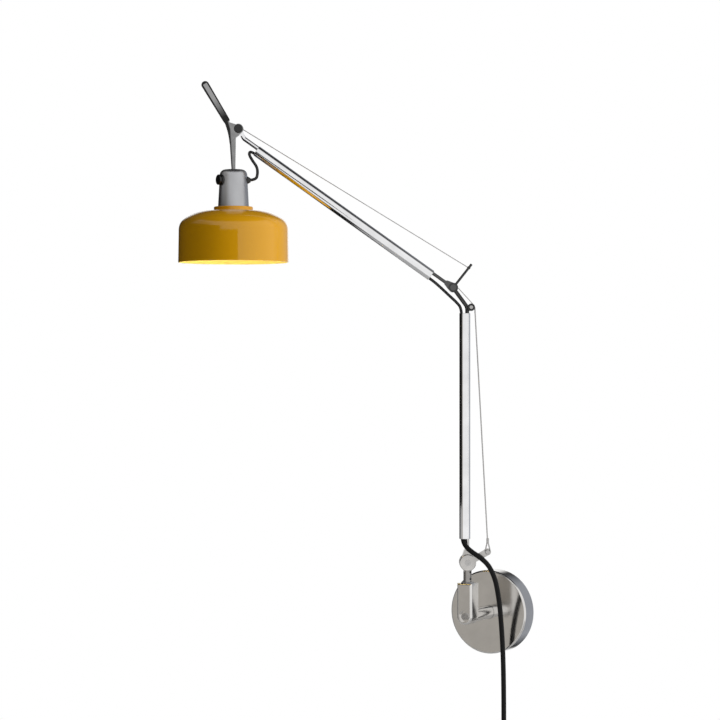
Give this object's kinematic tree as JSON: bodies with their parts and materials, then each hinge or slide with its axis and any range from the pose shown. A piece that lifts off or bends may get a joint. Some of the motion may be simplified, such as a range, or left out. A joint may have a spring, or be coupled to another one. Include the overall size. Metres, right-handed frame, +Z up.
{
  "type": "articulating wall lamp",
  "caption": "Wall lamp on a round plate, with a swivelling sprung arm of tubes and wires, a tilting head with a grab handle, and a shallow domed shade.",
  "frame": {"origin": "centre of the wall plate's back face, on the wall", "axes": "+Z up, +Y into the wall, the room on -Y; at rest the arm reaches to -X and out from the wall"},
  "size_m": [0.4353, 0.3417, 1.1034],
  "materials": {
    "chrome": "polished",
    "steel": "satin",
    "aluminium": "polished",
    "cup_metal": "satin",
    "black_plastic": "satin",
    "button_plastic": "gloss",
    "grey_plastic": "matte",
    "lead_rubber": "matte",
    "cord_braid": "woven textile braid",
    "shade_paint": "gloss paint",
    "bulb_glass": "frosted",
    "cap_metal": "bright"
  },
  "bodies": {
    "wall": {"canopy": "chrome", "wall_plate": "steel", "canopy_grub_screw": "steel", "wall_bar": "chrome", "hub_screw": "steel", "swivel_block": "chrome", "bracket_screw": "steel", "swivel_bush": "grey_plastic", "supply_cord": "cord_braid", "cord_coil": "cord_braid", "cord_tie": "black_plastic", "plug": "black_plastic"},
    "swivel": {"swivel_post": "aluminium", "post_grub_screws": "steel", "lower_lever": "aluminium", "friction_disc": "aluminium", "hinge_bolt": "steel", "hinge_nut": "steel", "hook_pin": "steel"},
    "lower_arm": {"lower_tube": "aluminium", "lower_foot_plug": "black_plastic", "lower_top_plug": "black_plastic", "lower_spring": "steel", "lower_clevis": "aluminium", "elbow_bar": "aluminium", "elbow_pulley": "black_plastic", "pulley_pin": "steel", "upper_lever": "aluminium", "elbow_bolt": "steel", "pulley_wire": "steel", "lower_lead": "lead_rubber", "elbow_lead": "lead_rubber"},
    "upper_arm": {"upper_tube": "aluminium", "upper_foot_plug": "black_plastic", "upper_top_plug": "black_plastic", "upper_spring": "steel", "elbow_clevis": "aluminium", "head_rod": "aluminium", "upper_lead": "lead_rubber", "head_lead": "lead_rubber"},
    "head": {"head_casting": "aluminium", "head_bolt": "steel", "head_knob": "black_plastic", "socket_cup": "cup_metal", "stem_nut": "steel", "switch_barrel": "black_plastic", "lead_gland": "black_plastic", "lamp_holder": "black_plastic", "shade_ring": "shade_paint", "shade_nut": "black_plastic", "shade": "shade_paint", "bulb_cap": "cap_metal", "bulb": "bulb_glass"},
    "button": {"switch_button": "button_plastic"},
    "lower_wire": {"lower_wire": "steel"},
    "upper_wire": {"upper_wire": "steel"}
  },
  "joints": [
    {"name": "swivel", "type": "hinge", "parent": "wall", "child": "swivel", "pos_m": [0, -0.092, 0.05], "axis": [0, 0, 1], "range_deg": [-30, 150], "deforming": ["supply_cord"]},
    {"name": "lower_tilt", "type": "hinge", "parent": "swivel", "child": "lower_arm", "pos_m": [0, -0.092, 0.078], "axis": [-0.5, 0.866, 0], "range_deg": [-40, 25], "deforming": ["supply_cord"]},
    {"name": "elbow", "type": "hinge", "parent": "lower_arm", "child": "upper_arm", "pos_m": [-0.01819, -0.1025, 0.476], "axis": [-0.5, 0.866, 0], "range_deg": [-45, 40], "deforming": ["elbow_lead"]},
    {"name": "head_tilt", "type": "hinge", "parent": "upper_arm", "child": "head", "pos_m": [-0.28762, -0.25806, 0.70627], "axis": [-0.5, 0.866, 0], "range_deg": [-14, 60], "deforming": ["head_lead"]},
    {"name": "switch_press", "type": "slide", "parent": "head", "child": "button", "axis": [0.5, 0.866, 0], "range_m": [0, 0.0015], "stiffness_N_per_m": 900, "springref_m": -0.002},
    {"name": "lower_wire_swing", "type": "hinge", "parent": "swivel", "child": "lower_wire", "pos_m": [0.03178, -0.09005, 0.094], "axis": [-0.5, 0.866, 0], "range_deg": [-43, 28]},
    {"name": "upper_wire_swing", "type": "hinge", "parent": "lower_arm", "child": "upper_wire", "pos_m": [0.00634, -0.10046, 0.50429], "axis": [-0.5, 0.866, 0], "range_deg": [-46, 41]}
  ],
  "couplings": [
    {"joint": "lower_wire_swing", "follows": "lower_tilt", "ratio": 1.062},
    {"joint": "upper_wire_swing", "follows": "elbow", "ratio": 0.989}
  ]
}
